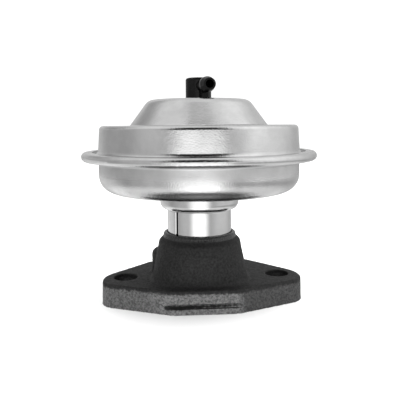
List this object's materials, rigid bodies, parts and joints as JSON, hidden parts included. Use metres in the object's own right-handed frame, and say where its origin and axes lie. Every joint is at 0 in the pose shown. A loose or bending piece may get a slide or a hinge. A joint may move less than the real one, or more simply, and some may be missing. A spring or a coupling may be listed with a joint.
{
  "type": "egr valve",
  "caption": "Vacuum diaphragm valve: flanged cast-iron base with gas ports, round neck, domed pressed-steel housing with a rolled rim and a side-pointing vacuum nipple.",
  "frame": {"origin": "on the valve's axis, at the flange's mounting face", "axes": "+Z is the way the valve lifts, away from the mounting face; X runs along the line of the two bolt holes; -Y is the flange's narrow front flat"},
  "size_m": [0.0914, 0.0914, 0.0867],
  "materials": {
    "cast_iron_base": "dark, rough as cast",
    "hardened_steel": "ground",
    "stem_steel": "ground",
    "turned_steel": "turned",
    "inner_sheet": "plain pressed",
    "sintered_bushing": "sintered, dull",
    "graphite": "matt",
    "polished_sleeve": "bright rolled",
    "polished_collar": "bright drawn",
    "pressed_steel_lower": "bright pressed",
    "pressed_steel_cover": "satin pressed",
    "diaphragm_rubber": "fabric backed",
    "seal_rubber": "smooth",
    "spring_steel": "drawn wire",
    "black_nylon": "moulded, satin"
  },
  "bodies": {
    "housing": {"backing_washer": "inner_sheet", "base_casting": "cast_iron_base", "diaphragm": "diaphragm_rubber", "elbow_push_nut": "inner_sheet", "elbow_seal": "seal_rubber", "gas_deflector": "inner_sheet", "lower_housing": "pressed_steel_lower", "main_spring": "spring_steel", "neck_sleeve": "polished_sleeve", "packing_retainer": "inner_sheet", "spring_locator": "inner_sheet", "standoff_collar": "polished_collar", "stem_bushing": "sintered_bushing", "stem_carrier": "turned_steel", "stem_packing": "graphite", "upper_housing": "pressed_steel_cover", "vacuum_elbow": "black_nylon", "valve_seat": "hardened_steel"},
    "valve": {"pintle": "hardened_steel", "valve_stem": "stem_steel", "lower_plate": "inner_sheet", "upper_plate": "inner_sheet", "plate_washer": "inner_sheet"}
  },
  "joints": [
    {"name": "valve_lift", "type": "slide", "parent": "housing", "child": "valve", "axis": [0, 0, 1], "range_m": [0, 0.006], "stiffness_N_per_m": 2200, "springref_m": -0.008, "deforming": ["main_spring", "diaphragm"]}
  ]
}
